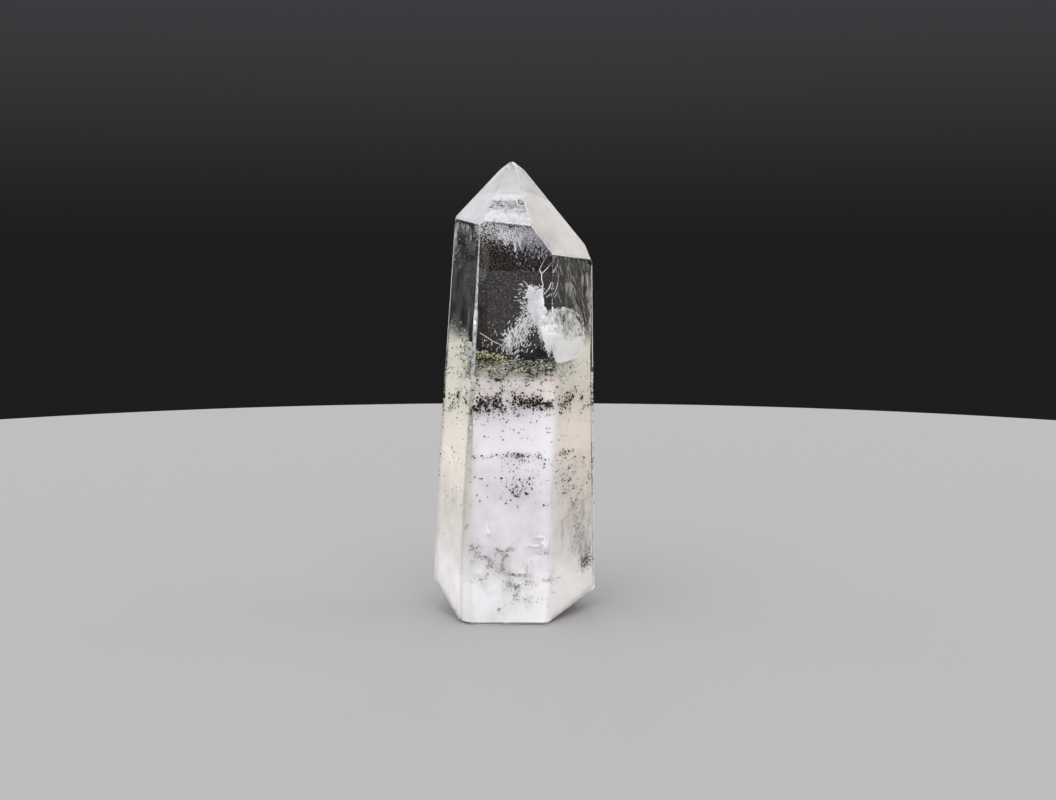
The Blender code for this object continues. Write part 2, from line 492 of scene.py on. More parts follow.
pearl, pearl_tree = new_material("pearly_haze")
where = add(pearl_tree, "ShaderNodeTexCoord", take="Object")
across = where.axis("X")
facing = add(pearl_tree, "ShaderNodeNewGeometry", take="Normal")
slope = facing.axis("Z")
crown_only = slope.maths("ABSOLUTE", slope).step(*CROWN_SLOPE)
pearl_clouds = cloud(pearl_tree, where, 6 * MM)
# Painted shade on the left of the crown, painted light in the middle and at the right.
tints = blend_colours(across.step(*LIT_MIDDLE_FROM), PEARL_SHADED_LEFT, PEARL_LIT_MIDDLE)
tints = blend_colours(across.step(*LIT_RIGHT_FROM), tints, PEARL_LIT_RIGHT)
show_faint(pearl_tree, tints, crown_only * (pearl_clouds * 0.7 + 0.06))
haze_shell("milky_tip", TIP_FOOT, TIP_TOP, TIP_RINGS, TIP_INSET, 0.1 * MM, pearl)


# The chlorite bed: dark green grains that settled on the growing crystal and were sealed in as one uneven
# layer across its whole width. The grains are tiny rough pebbles, crowded in clumps and thin between them.
BED_MIDDLE = 38.7 * MM
BED_HALF = 2.7 * MM
# The two dense heaps: the x of each and its width, and then the middle and the height of both.
BED_HEAPS = ((-3.6 * MM, 1.3 * MM), (3.3 * MM, 1.6 * MM))
HEAP_LEVEL = 38.6 * MM
HEAP_HEIGHT = 1.0 * MM
BED_COUNT = 1280
UPPER_COUNT = 760
# The front face lies between these two, and beside it only this share of the grains is kept.
BED_FRONT = (-7.0 * MM, 6.5 * MM)
SIDE_SHARE = 0.6
# The shares of the grains and of the pale specks that are kept deeper in than the haze.
DEEP_GRAINS = 0.15
DEEP_SPECKS = 0.2
GRAIN_WIDTH = 0.31 * MM
HAZE_DEPTH = 1.7 * MM
SKIN = 0.35 * MM


def grain_field(name):
    """A mesh tree that sets one small grain on every point, turned along its own direction."""
    tree = bpy.data.node_groups.new(name, "GeometryNodeTree")
    tree.interface.new_socket("Spots", in_out="INPUT", socket_type="NodeSocketGeometry")
    for label in ("Grain width", "Grain length", "Size spread", "Tumble"):
        tree.interface.new_socket(label, in_out="INPUT", socket_type="NodeSocketFloat")
    tree.interface.new_socket("Seed", in_out="INPUT", socket_type="NodeSocketInt")
    tree.interface.new_socket("Mineral", in_out="INPUT", socket_type="NodeSocketMaterial")
    tree.interface.new_socket("Grains", in_out="OUTPUT", socket_type="NodeSocketGeometry")
    given = {item.name: add(tree, "NodeGroupInput", take=item.name)
             for item in tree.interface.items_tree if item.in_out == "INPUT"}

    along = add(tree, "GeometryNodeInputNamedAttribute", {"data_type": "FLOAT_VECTOR"}, {"Name": "along"})
    turned = add(tree, "FunctionNodeAlignRotationToVector", {"axis": "Z"}, {"Vector": along})
    tumble = add(tree, "ShaderNodeCombineXYZ",
                 inputs={"X": given["Tumble"], "Y": given["Tumble"], "Z": math.pi})
    untumble = add(tree, "ShaderNodeVectorMath", {"operation": "SCALE"}, {0: tumble, "Scale": -1.0})
    spin = add(tree, "FunctionNodeRandomValue", {"data_type": "FLOAT_VECTOR"},
               {0: untumble, 1: tumble, "Seed": given["Seed"]})
    turn = add(tree, "FunctionNodeRotateRotation", {"rotation_space": "LOCAL"},
               {"Rotation": turned, "Rotate By": spin})

    bigger = add(tree, "GeometryNodeInputNamedAttribute", {"data_type": "FLOAT"}, {"Name": "bigger"})
    smallest, largest = 1 - given["Size spread"], given["Size spread"] + 1
    chance = add(tree, "FunctionNodeRandomValue", {"data_type": "FLOAT"},
                 {2: smallest, 3: largest, "Seed": given["Seed"] + 1.0}, take=1)
    width = bigger * chance * given["Grain width"]
    length = bigger * chance * given["Grain length"]
    size = add(tree, "ShaderNodeCombineXYZ", inputs={"X": width, "Y": width * 0.8, "Z": length})

    pebble = add(tree, "GeometryNodeMeshIcoSphere", inputs={"Radius": 0.5, "Subdivisions": 1})
    grains = add(tree, "GeometryNodeInstanceOnPoints",
                 inputs={"Points": given["Spots"], "Instance": pebble, "Rotation": turn, "Scale": size})
    solid = add(tree, "GeometryNodeRealizeInstances", inputs={"Geometry": grains})
    done = add(tree, "GeometryNodeSetMaterial", inputs={"Geometry": solid, "Material": given["Mineral"]})
    add(tree, "NodeGroupOutput", inputs={"Grains": done})
    return tree


GRAINS = grain_field("grains")


def grow(name, spots, mineral, width, length=None, spread=0.45, tumble=math.pi, along=None, bigger=None,
         skin=SKIN, seed=1):
    """Grows one grain on every spot that lies inside the crystal, and keeps them as one piece."""
    spots = np.asarray(spots, dtype=float)
    along = np.tile((0.0, 0.0, 1.0), (len(spots), 1)) if along is None else np.asarray(along, dtype=float)
    bigger = np.ones(len(spots)) if bigger is None else np.asarray(bigger, dtype=float)
    kept = is_inside(spots, skin)
    base = bpy.data.meshes.new(name + "_spots")
    base.from_pydata(spots[kept].tolist(), [], [])
    base.attributes.new("along", "FLOAT_VECTOR", "POINT").data.foreach_set("vector", along[kept].ravel())
    base.attributes.new("bigger", "FLOAT", "POINT").data.foreach_set("value", bigger[kept])
    sown = set_out(name + "_spots", base)
    growth = sown.modifiers.new("grains", "NODES")
    growth.node_group = GRAINS
    chosen = {"Grain width": width, "Grain length": length or width, "Size spread": spread,
              "Tumble": tumble, "Seed": seed, "Mineral": mineral}
    for item in GRAINS.interface.items_tree:
        if item.name in chosen:
            growth[item.identifier] = chosen[item.name]
    depsgraph = bpy.context.evaluated_depsgraph_get()
    mesh = bpy.data.meshes.new_from_object(sown.evaluated_get(depsgraph), depsgraph=depsgraph)
    mesh.name = name
    sown.modifiers.clear()
    bpy.data.objects.remove(sown, do_unlink=True)
    return place(mesh, name, mineral)


def scatter(count, low, high, density, seed):
    """Random points in a box, kept where they are inside the crystal and where the density lets them."""
    draw = np.random.default_rng(seed)
    kept = []
    while len(kept) < count:
        tries = draw.uniform(np.array(low), np.array(high), (4 * count, 3))
        tries = tries[is_inside(tries, SKIN)]
        kept += [spot for spot in tries if draw.random() < density(*spot)]
    return np.array(kept[:count])


def patch(x, y, z, size, seed):
    """Smooth noise from about -1 to 1 with patches of this size."""
    return noise.noise(Vector((x, y, z)) / size + Vector((seed * 7.3, seed * 3.1, seed * 5.7)))


def mineral(name, dark, light, roughness, grain):
    """A dull mineral whose colour changes from grain to grain between two tones."""
    material, tree = new_material(name)
    where = add(tree, "ShaderNodeTexCoord", take="Object")
    tone = cloud(tree, where, grain, detail=1.0).step(0.35, 0.65)
    show(tree, add(tree, "ShaderNodeBsdfPrincipled",
                   inputs={"Base Color": blend_colours(tone, dark, light), "Roughness": roughness,
                           "Specular IOR Level": 0.15}))
    return material


CHLORITE = mineral("green_chlorite", (0.006, 0.012, 0.006, 1.0), (0.070, 0.105, 0.040, 1.0), 0.8, 0.6 * MM)


def depth_of(x, y, z):
    """How deep inside the crystal a point lies, measured from its nearest face."""
    return float((wall_offsets - walls @ np.array((x, y, z))).min())


def bed_density(x, y, z):
    """Crowded in clumps near the faces, thinner inside and at the top, with a ragged foot and two heaps."""
    level = (z - BED_MIDDLE - 0.6 * MM * patch(x, y, 0, 5 * MM, 1)) / BED_HALF
    body = max(0.0, 1.0 - level * level) ** 1.5
    clump = max(0.0, 0.22 + 1.8 * patch(x, y, z, 2.2 * MM, 2) + 1.2 * patch(x, y, z, 0.9 * MM, 5))
    for middle, width in BED_HEAPS:
        clump += 1.2 * math.exp(-((x - middle) / width) ** 2 - ((z - HEAP_LEVEL) / HEAP_HEIGHT) ** 2)
    clump *= 1.0 if BED_FRONT[0] < x < BED_FRONT[1] else SIDE_SHARE
    return body * clump * (1.0 if depth_of(x, y, z) < HAZE_DEPTH else DEEP_GRAINS)


def speckle_density(x, y, z):
    """The specks between and above the green grains, drawn further up than down."""
    level = (z - BED_MIDDLE - 1.1 * MM) / (1.3 * BED_HALF)
    body = max(0.0, 1.0 - level * level)
    clump = max(0.0, 0.4 + patch(x, y, z, 1.5 * MM, 6))
    return body * clump * (1.0 if depth_of(x, y, z) < HAZE_DEPTH else DEEP_SPECKS)


def slab(low, high):
    """The box that holds all of the crystal between two levels."""
    return (cad_low[0], cad_low[1], low), (cad_high[0], cad_high[1], high)


bed_box = slab(BED_MIDDLE - BED_HALF, BED_MIDDLE + BED_HALF)
high_box = slab(BED_MIDDLE - 2.6 * MM, BED_MIDDLE + 4.0 * MM)
grow("chlorite_bed", scatter(BED_COUNT, *bed_box, bed_density, 11), CHLORITE,
     GRAIN_WIDTH, length=1.3 * GRAIN_WIDTH, spread=0.6, seed=3)
# The black grains are a darker copy of the chlorite in the same clumps. They are partly the chlorite's own
# dark tone and partly painted shade among the clumps.
DARK_CHLORITE = mineral("dark_chlorite", (0.004, 0.005, 0.004, 1.0), (0.030, 0.036, 0.020, 1.0), 0.8,
                        0.9 * MM)
grow("black_and_shaded_bed", scatter(BED_COUNT, *bed_box, bed_density, 13), DARK_CHLORITE,
     0.8 * GRAIN_WIDTH, length=1.2 * GRAIN_WIDTH, spread=0.6, seed=4)
PALE_SPECK = mineral("pale_speck", (0.62, 0.66, 0.52, 1.0), (0.97, 0.98, 0.90, 1.0), 0.9, 0.5 * MM)
grow("pale_bed", scatter(BED_COUNT, *high_box, speckle_density, 17), PALE_SPECK,
     0.6 * GRAIN_WIDTH, length=0.8 * GRAIN_WIDTH, spread=0.6, seed=2)
grow("upper_specks", scatter(UPPER_COUNT, *high_box, speckle_density, 19), DARK_CHLORITE,
     0.5 * GRAIN_WIDTH, length=0.75 * GRAIN_WIDTH, spread=0.6, seed=20)


# The mossy band: finer grey-green grains and pale specks above the bed, under the dark window. Its upper edge
# is uneven, it climbs higher on the left face, and it thins out on the right.
MOSS_LOW = 41.4 * MM
MOSS_HIGH = 45.2 * MM
MOSS_LEFT_CLIMB = 7.5 * MM
# Where the climb begins on the left and how far it takes, and where the thin part begins on the right.
MOSS_LEFT = -6.0 * MM
MOSS_LEFT_RUN = 3 * MM
MOSS_RIGHT = 6.3 * MM
MOSS_COUNT = 2300

PALE_MOSS = mineral("pale_moss", (0.42, 0.44, 0.34, 1.0), (0.90, 0.89, 0.78, 1.0), 0.9, 0.5 * MM)
YELLOW_MOSS = mineral("yellow_moss", (0.34, 0.37, 0.13, 1.0), (0.90, 0.90, 0.60, 1.0), 0.9, 0.4 * MM)


def moss_density(x, y, z):
    """Drawn out in level streaks near the front, and thinning into patches at the back and near the bed."""
    left = min(1.0, max(0.0, (MOSS_LEFT - x) / MOSS_LEFT_RUN))
    top = MOSS_HIGH + 1.3 * MM * patch(x, y, 0, 4 * MM, 3) + left * MOSS_LEFT_CLIMB
    if not MOSS_LOW < z < top:
        return 0.0
    near = 1.0 if depth_of(x, y, z) < 2 * MM else 0.25
    side = 0.25 if x > MOSS_RIGHT else 1.0 - 0.7 * left
    fade = min(1.0, (z - MOSS_LOW) / (2.2 * MM))
    streak = patch(x, y, z * 3.5, 2.0 * MM, 4) + 0.6 * patch(x, y, z * 2, 0.8 * MM, 9)
    return side * near * fade * max(0.02, 0.35 + 1.6 * streak)


def behind(x, z, depth):
    """A point behind the front faces, from its x, z and depth in millimetres."""
    return (x * MM, front_at(x * MM, z * MM) + depth * MM, z * MM)


moss_box = slab(MOSS_LOW, MOSS_HIGH + MOSS_LEFT_CLIMB + MM)
level_lie = np.tile((1.0, 0.0, 0.0), (MOSS_COUNT, 1))
grow("chlorite_moss", scatter(MOSS_COUNT, *moss_box, moss_density, 21), CHLORITE,
     0.20 * MM, length=0.38 * MM, spread=0.5, tumble=0.6, along=level_lie, seed=5)
grow("pale_moss", scatter(MOSS_COUNT, *moss_box, moss_density, 23), PALE_MOSS,
     0.14 * MM, length=0.26 * MM, spread=0.6, tumble=0.6, along=level_lie, seed=6)

# Two yellow lines: a slanting one at the left, and a wavy one that marks the top of the band.
draw = random.Random(25)
yellow = []
for _ in range(90):
    x = draw.uniform(-6.6, -1.8)
    z = 47.1 + draw.gauss(0, 0.33) - 0.14 * (x + 6)
    yellow.append(behind(x, z, draw.uniform(0.8, 2.2)))
for _ in range(40):
    x = draw.uniform(-6.3, 1.5)
    z = 44.0 + 0.5 * math.sin(x * 1.1) + draw.gauss(0, 0.10)
    yellow.append(behind(x, z, draw.uniform(0.6, 1.2)))
grow("yellow_moss", yellow, YELLOW_MOSS, 0.22 * MM, length=0.32 * MM, spread=0.5, seed=7)


# Loose chlorite: single grains below the bed, a thin broken line of them lower down, and sparse ones under
# that. They lie close behind the faces, where the last growth of the crystal covered them.
DUST_DEPTH = 0.50 * MM
# The thin line: for each clump its bearing in degrees, how wide it spreads in degrees, and its grains.
LINE_LEVEL = 29.6 * MM
LINE_CLUMPS = ((262, 2.5, 14), (276, 5, 60), (288, 5, 26), (252, 3, 10), (240, 5, 6), (312, 6, 26),
               (326, 4, 24), (20, 8, 24), (75, 12, 30), (110, 8, 18), (150, 9, 22), (205, 6, 8))
# How many grains hang from the bed, lie sparse under the line, and lie lowest of all.
HANGING_COUNT = 300
SPARSE_COUNT = 560
LOWEST_COUNT = 26
# Two clusters under the line: bearing in degrees, height and its spread in millimetres, grains and their size.
DUST_CLUSTERS = ((274, 24.0, 1.5, 60, 1.1), (322, 23.5, 1.8, 40, 1.0))


def near_face(bearing, height, depth):
    """A point this far behind the crystal's surface, on this bearing and at this height."""
    spot = towards(bearing, 0.0) * (reach(bearing, height) - depth)
    return (spot.x, spot.y, height)


draw = random.Random(31)
dust, dust_sizes = [], []


def sprinkle(bearing, height, typical):
    """Adds one loose grain near the surface, with a size that varies a good deal."""
    dust.append(near_face(bearing, height, DUST_DEPTH * draw.uniform(0.8, 1.3)))
    dust_sizes.append(typical * min(1.7, math.exp(draw.gauss(0, 0.45))))


for bearing, spread, count in LINE_CLUMPS:
    for _ in range(count):
        sprinkle(draw.gauss(bearing, spread), LINE_LEVEL + draw.gauss(0, 0.32 * MM), 0.9)
for _ in range(HANGING_COUNT):
    sprinkle(draw.uniform(0, 360), 36.8 * MM - 5 * MM * draw.random() ** 2, 0.8)
for _ in range(SPARSE_COUNT):
    bearing = draw.uniform(258, 400) if draw.random() < 0.7 else draw.uniform(60, 258)
    sprinkle(bearing, 28.8 * MM - 8.5 * MM * draw.random() ** 1.3, 0.85)
for bearing, height, spread, count, typical in DUST_CLUSTERS:
    for _ in range(count):
        sprinkle(draw.gauss(bearing, 6), draw.gauss(height, spread) * MM, typical)
for _ in range(LOWEST_COUNT):
    sprinkle(draw.uniform(0, 360), draw.uniform(13, 19.5) * MM, 0.8)
grow("chlorite_dust", dust, DARK_CHLORITE, 0.19 * MM, length=0.29 * MM, spread=0.3,
     bigger=dust_sizes, seed=8)


# The foot of the garden: faint grey-green clumps and smears close behind the front near the foot, a dark
# speckled patch beside the right bevel, and a few bright flecks of milky quartz.
# Each clump: x and z of its middle, half its width and height, all in millimetres, and its number of grains.
FOOT_CLUMPS = ((-6.9, 13.2, 1.0, 1.0, 70), (-5.2, 11.8, 1.4, 0.5, 60), (-4.0, 10.6, 0.8, 0.9, 60),
               (-2.9, 13.3, 0.3, 0.2, 16), (-2.2, 12.8, 0.8, 0.2, 26), (-0.6, 13.3, 0.8, 0.3, 30),
               (-1.5, 12.2, 0.7, 0.3, 30), (-2.0, 11.2, 0.3, 0.8, 26), (-2.2, 9.8, 0.8, 0.7, 60),
               (-0.9, 8.9, 0.9, 0.3, 40), (0.8, 8.6, 1.2, 0.3, 46), (2.2, 9.0, 0.6, 0.3, 20),
               (-1.0, 7.4, 1.0, 0.5, 40), (0.3, 6.8, 0.9, 0.5, 80), (2.4, 7.6, 1.6, 0.8, 40),
               (0.2, 5.0, 0.5, 0.9, 34), (2.6, 4.4, 2.0, 0.8, 40), (6.5, 7.9, 1.5, 0.2, 60),
               (7.6, 7.8, 0.5, 0.15, 20), (6.6, 5.3, 0.5, 0.2, 12), (5.8, 3.0, 0.3, 0.3, 8),
               (-2.6, 2.8, 0.5, 0.3, 12), (-5.9, 8.2, 1.6, 1.5, 40), (4.4, 12.6, 1.2, 0.4, 26))
PATCH_COUNT = 430
STREAK_COUNT = 420
# Bright flecks: x, z, half the width and half the height in millimetres, and the flakes in each.
BRIGHT_FLECKS = ((5.2, 14.3, 0.35, 0.95), (4.3, 15.4, 0.8, 0.3), (-4.7, 17.0, 0.3, 0.8),
                 (-4.3, 16.2, 0.25, 0.4), (3.4, 13.9, 0.9, 0.12), (9.5, 13.0, 0.4, 1.3),
                 (-6.75, 52.5, 0.35, 0.5), (12.9, 52.4, 0.3, 0.8))
FLECK_FLAKES = 60
VEILED_CHLORITE = mineral("veiled_chlorite", (0.20, 0.20, 0.19, 1.0), (0.62, 0.60, 0.55, 1.0), 0.9, 0.4 * MM)
MILK_FLECK = mineral("milk_fleck", (0.97, 0.98, 1.0, 1.0), (1.0, 1.0, 1.0, 1.0), 0.9, MM)

draw = random.Random(61)


def around(x, z, wide, tall):
    """A spot in millimetres that falls around a middle, spread this far in x and in z."""
    return x + draw.gauss(0, wide), z + draw.gauss(0, tall)


clumps, clump_sizes = [], []
for x, z, half_width, half_height, count in FOOT_CLUMPS:
    for _ in range(count):
        spot = around(x, z, 0.6 * half_width, 0.6 * half_height)
        clumps.append(behind(*spot, draw.uniform(0.40, 0.75)))
        clump_sizes.append(math.exp(draw.gauss(0, 0.4)))
grow("foot_garden", clumps, VEILED_CHLORITE, 0.13 * MM, length=0.21 * MM, spread=0.3,
     bigger=clump_sizes, seed=12)

dark_patch = []
for _ in range(PATCH_COUNT):
    spot = around(12.55, 9.4, 0.65, 0.85)
    dark_patch.append(behind(*spot, draw.uniform(0.4, 0.8)))
streaks = []
for _ in range(STREAK_COUNT):
    z = draw.uniform(11.0, 21.0)
    x = 12.0 - 0.15 * (z - 11.5) + draw.gauss(0, 1.1)
    streaks.append(behind(x, z, draw.uniform(0.4, 0.8)))
grow("foot_streaks", streaks, VEILED_CHLORITE, 0.16 * MM, length=0.45 * MM, spread=0.5,
     tumble=0.5, seed=19)
grow("foot_patch", dark_patch, DARK_CHLORITE, 0.16 * MM, length=0.26 * MM, spread=0.5,
     seed=13)

bright = []
for x, z, half_width, half_height in BRIGHT_FLECKS:
    for _ in range(FLECK_FLAKES):
        spot = around(x, z, 0.5 * half_width, 0.5 * half_height)
        bright.append(behind(*spot, draw.uniform(0.38, 0.6)))
grow("bright_flecks", bright, MILK_FLECK, 0.18 * MM, length=0.42 * MM, spread=0.4, tumble=0.3,
     seed=18)


# The white feather: a healed crack that throws a dense white plume from a narrow stem into a rounded fan,
# with barbs at its edges. It is made of crumpled milky sheets and of thousands of white flakes.
FEATHER_WHITE = mineral("feather_white", (0.90, 0.91, 0.95, 1.0), (1.0, 1.0, 1.0, 1.0), 0.9, 0.8 * MM)
# Rims of the three sheets, as x and z in millimetres, each around its middle.
STEM_MIDDLE = (4.0, 54.6)
STEM_RIM = ((2.5, 58.2), (3.0, 58.6), (3.6, 57.6), (4.7, 58.2), (5.1, 56.6), (5.2, 55.2), (5.8, 53.6),
            (6.6, 50.0), (7.3, 46.8), (6.8, 46.0), (5.7, 48.6), (4.7, 50.6), (3.9, 52.3), (3.1, 53.6),
            (2.4, 54.6), (2.7, 56.2), (1.9, 57.4))
FAN_MIDDLE = (8.4, 50.0)
FAN_RIM = ((4.6, 54.4), (6.7, 54.8), (9.0, 54.7), (10.6, 52.6), (11.6, 51.2), (12.0, 49.9), (11.9, 48.2),
           (11.2, 46.8), (10.2, 45.9), (9.0, 45.5), (7.9, 45.3), (7.1, 45.6), (6.4, 46.3), (6.0, 47.2),
           (5.3, 48.9), (4.7, 51.0))
TAIL_MIDDLE = (7.6, 45.4)
TAIL_RIM = ((6.5, 47.0), (7.6, 47.4), (9.4, 46.6), (8.8, 45.0), (8.0, 43.0), (7.4, 42.0), (6.9, 43.2),
            (6.5, 45.0))
SHEET_RINGS = 16
SHEET_SPOKES = 96
SHEET_MARGIN = 0.25 * MM
# The fan is heaviest below these levels, along a line that falls to the right.
FAN_HEAVY = (49.0 * MM, 56.0 * MM)
# In millimetres: the x from which the barbs stick out, and the middle and half sizes of the fan's rim.
BARB_ROOT = 3.3
RIM_MIDDLE = (8.3, 50.2)
RIM_HALF = (3.6, 4.4)


def sheet_spot(middle, angle, out, depth, ripple):
    """A point of a sheet: so far out from its middle at this angle, and so deep behind the front face."""
    x, z = middle[0] * MM + out * math.cos(angle), middle[1] * MM + out * math.sin(angle)
    return (x, front_at(x, z) + depth + ripple * patch(x, 0, z, 1.8 * MM, depth / MM), z)


def sheet(name, middle, rim, depth, ragged, ripple, material):
    """A thin crumpled sheet inside a rim of a few given points, bent to run behind the front faces."""
    angles = np.array([math.atan2(z - middle[1], x - middle[0]) for x, z in rim])
    radii = np.array([math.hypot(x - middle[0], z - middle[1]) for x, z in rim]) * MM
    order = np.argsort(angles)
    turns = [2 * math.pi * spoke / SHEET_SPOKES - math.pi for spoke in range(SHEET_SPOKES)]
    edges = []
    for turn in turns:
        edge = np.interp(turn, angles[order], radii[order], period=2 * math.pi)
        edge *= 1 + ragged * noise.noise(Vector((math.cos(turn), math.sin(turn), depth / MM)) * 5)
        while edge > MM and depth_of(*sheet_spot(middle, turn, edge, depth, ripple)) < SHEET_MARGIN:
            edge *= 0.96
        edges.append(edge)
    made = bmesh.new()
    loops = []
    for ring in range(1, SHEET_RINGS + 1):
        loops.append([made.verts.new(sheet_spot(middle, turn, edge * ring / SHEET_RINGS, depth, ripple))
                      for turn, edge in zip(turns, edges)])
    x, z = middle[0] * MM, middle[1] * MM
    centre = made.verts.new((x, front_at(x, z) + depth, z))
    for spoke in range(SHEET_SPOKES):
        after = (spoke + 1) % SHEET_SPOKES
        made.faces.new((centre, loops[0][spoke], loops[0][after]))
        for inner, outer in zip(loops, loops[1:]):
            made.faces.new((inner[spoke], outer[spoke], outer[after], inner[after]))
    return place(as_mesh(name, made), name, material)


def veil_material(name, colour, thin, thick, size, heavy_below=None):
    """A white sheet, dense in patches of this size and nearly clear between them, and denser further down."""
    material, tree = new_material(name)
    where = add(tree, "ShaderNodeTexCoord", take="Object")
    dense = cloud(tree, where, size, detail=5.0, roughness=0.65)
    if heavy_below:
        folds = cloud(tree, where, 2.5 * size)
        level = where.axis("Z") + where.axis("X") * 0.35 + (folds - 0.5) * (7 * MM)
        dense = dense + (1 - level.step(*heavy_below)) * 0.35
    show_faint(tree, colour, dense.step(thin, thick))
    return material


DENSE_VEIL = veil_material("dense_veil", (0.97, 0.975, 1.0, 1.0), 0.22, 0.42, 1.4 * MM)
FAN_VEIL = veil_material("fan_veil", (0.96, 0.99, 0.98, 1.0), 0.32, 0.66, 1.0 * MM, heavy_below=FAN_HEAVY)
SOFT_VEIL = veil_material("soft_veil", (0.92, 0.92, 0.91, 1.0), 0.30, 0.85, 2.4 * MM)
sheet("feather_stem", STEM_MIDDLE, STEM_RIM, 2.4 * MM, 0.22, 0.5 * MM, DENSE_VEIL)
sheet("feather_fan", FAN_MIDDLE, FAN_RIM, 1.5 * MM, 0.06, 0.4 * MM, FAN_VEIL)
sheet("feather_tail", TAIL_MIDDLE, TAIL_RIM, 1.9 * MM, 0.10, 0.3 * MM, SOFT_VEIL)

draw = random.Random(41)
flakes, leanings, flake_sizes = [], [], []


def strew(count, spot_at, lean_at, sizes, depths):
    """Adds flakes: where each one is in x and z, how it leans, and the ranges of its size and depth."""
    for _ in range(count):
        x, z = spot_at()
        flakes.append(behind(x, z, draw.uniform(*depths)))
        leanings.append(lean_at(x, z))
        flake_sizes.append(draw.uniform(*sizes))


def on_stem():
    """A spot along the stem and its run down into the fan."""
    way = draw.random()
    x = 3.4 + 3.6 * max(0.0, way - 0.35) / 0.65
    return x + draw.gauss(0, 0.55), 58.4 - 12.0 * way + draw.gauss(0, 0.3)


def on_barbs():
    """A spot on the barbs that stick out from the stem, mostly to the left and up."""
    way = draw.random()
    out = abs(draw.gauss(0, 1.3)) * (-1 if draw.random() < 0.8 else 0.8)
    return BARB_ROOT + out, 58.5 - 7.0 * way + abs(out) * 0.35


def on_fan():
    """A spot in the lower, denser part of the fan."""
    angle = draw.uniform(-math.pi, math.pi)
    out = math.sqrt(draw.random())
    return 8.5 + 3.1 * out * math.cos(angle), 48.3 + 2.5 * out * math.sin(angle)


def on_rim():
    """A spot on the rounded rim of the fan."""
    angle = draw.uniform(-1.2, 2.0)
    x = RIM_MIDDLE[0] + RIM_HALF[0] * math.cos(angle)
    z = RIM_MIDDLE[1] + RIM_HALF[1] * math.sin(angle)
    return around(x, z, 0.10, 0.10)


def in_spray():
    """A spot in the spray to the left of the stem, which streams down and to the left."""
    way = draw.random()
    return draw.gauss(2.4 - 3.0 * way, 0.55 + 0.9 * way), draw.gauss(52.8 - 5.0 * way, 0.9)


def in_knot():
    """A spot in the brighter knot within the spray."""
    return around(-0.9, 49.6, 0.35, 0.6)


strew(700, on_stem, lambda x, z: (draw.gauss(0, 0.6), 0.2, 1.0), (0.5, 1.3), (1.2, 3.2))
strew(300, on_barbs, lambda x, z: (x - BARB_ROOT, 0.1, 0.55), (0.5, 1.2), (1.4, 3.4))
strew(700, on_fan, lambda x, z: (0.5, 0.2, draw.gauss(0, 1)), (0.4, 1.1), (1.0, 1.9))
strew(200, on_rim, lambda x, z: (z - RIM_MIDDLE[1], 0.0, RIM_MIDDLE[0] - x), (0.5, 1.1), (1.1, 1.6))
strew(900, in_spray, lambda x, z: (0.45, 0.1, 1.0), (0.30, 1.2), (1.4, 4.0))
strew(120, in_knot, lambda x, z: (0.35, 0.1, 1.0), (0.6, 1.4), (1.6, 2.6))
grow("feather_flakes", flakes, FEATHER_WHITE, 0.14 * MM, length=0.46 * MM, spread=0.4,
     tumble=0.35, along=leanings, bigger=flake_sizes, seed=9)


# Threads in the clear quartz: a forked bright thread that runs up from the feather to the right shoulder, and
# one thin curved crack at the lower left. Each is a fine healed crack, seen edge on.
# Each thread: its radius and depth in millimetres, and then its points as x and z.
THREADS = ((0.075, 3.0, ((4.70, 57.6), (5.12, 58.95), (4.82, 59.65), (4.87, 60.65), (4.44, 61.35),
                         (4.87, 62.2), (5.38, 63.3), (5.89, 63.8))),
           (0.060, 3.0, ((4.85, 60.7), (5.38, 61.2), (6.15, 62.0), (6.55, 62.7))),
           (0.070, 3.0, ((5.3, 57.2), (6.17, 58.25), (6.55, 59.4), (6.70, 60.7))),
           (0.050, 2.6, ((5.6, 56.6), (6.3, 57.2), (6.9, 57.6))),
           (0.055, 2.0, ((-5.78, 50.6), (-4.4, 49.75), (-3.4, 49.05), (-2.2, 48.6), (-1.15, 47.6),
                         (0.4, 46.5), (1.25, 45.9))),
           (0.045, 2.4, ((2.8, 58.2), (2.1, 59.2), (1.5, 59.6))))
THREAD_SIDES = 6
THREAD_STEPS = 5


def thread(made, radius, depth, stops):
    """A thin round strand through a few points, smooth between them and pointed at both ends."""
    spots = np.array([behind(x, z, depth) for x, z in stops])
    ways = np.arange(len(spots))
    fine = np.linspace(0, len(spots) - 1, (len(spots) - 1) * THREAD_STEPS + 1)
    path = np.stack([np.interp(fine, ways, spots[:, axis]) for axis in range(3)], axis=1)
    path[1:-1] = (path[:-2] + 2 * path[1:-1] + path[2:]) / 4
    loops = []
    for step, spot in enumerate(path):
        ahead = Vector(path[min(step + 1, len(path) - 1)] - path[max(step - 1, 0)]).normalized()
        across = ahead.cross(Vector((0, 1, 0))).normalized()
        out = across.cross(ahead)
        share = step / (len(path) - 1)
        thick = radius * MM * (0.25 + 0.75 * math.sin(math.pi * min(1.0, share + 0.2)))
        thick *= 1 + 0.5 * noise.noise(Vector(spot) / (0.5 * MM))
        loops.append([made.verts.new(Vector(spot) + thick * (across * math.cos(turn) + out * math.sin(turn)))
                      for turn in np.linspace(0, 2 * math.pi, THREAD_SIDES, endpoint=False)])
    for first, second in zip(loops, loops[1:]):
        for side in range(THREAD_SIDES):
            after = (side + 1) % THREAD_SIDES
            made.faces.new((first[side], first[after], second[after], second[side]))
    made.faces.new(reversed(loops[0]))
    made.faces.new(loops[-1])


strands = bmesh.new()
for radius, depth, stops in THREADS:
    thread(strands, radius, depth, stops)
bmesh.ops.recalc_face_normals(strands, faces=strands.faces[:])
place(as_mesh("threads", strands), "threads", FEATHER_WHITE)


# The fringe under the tip: a powder of fine white specks that hangs from the level of the crown's lower edge,
# with greyer streaks to the right and a few spiky white tufts. Grey specks lie behind the crown's front face.
FRINGE_LEVEL = 69.6
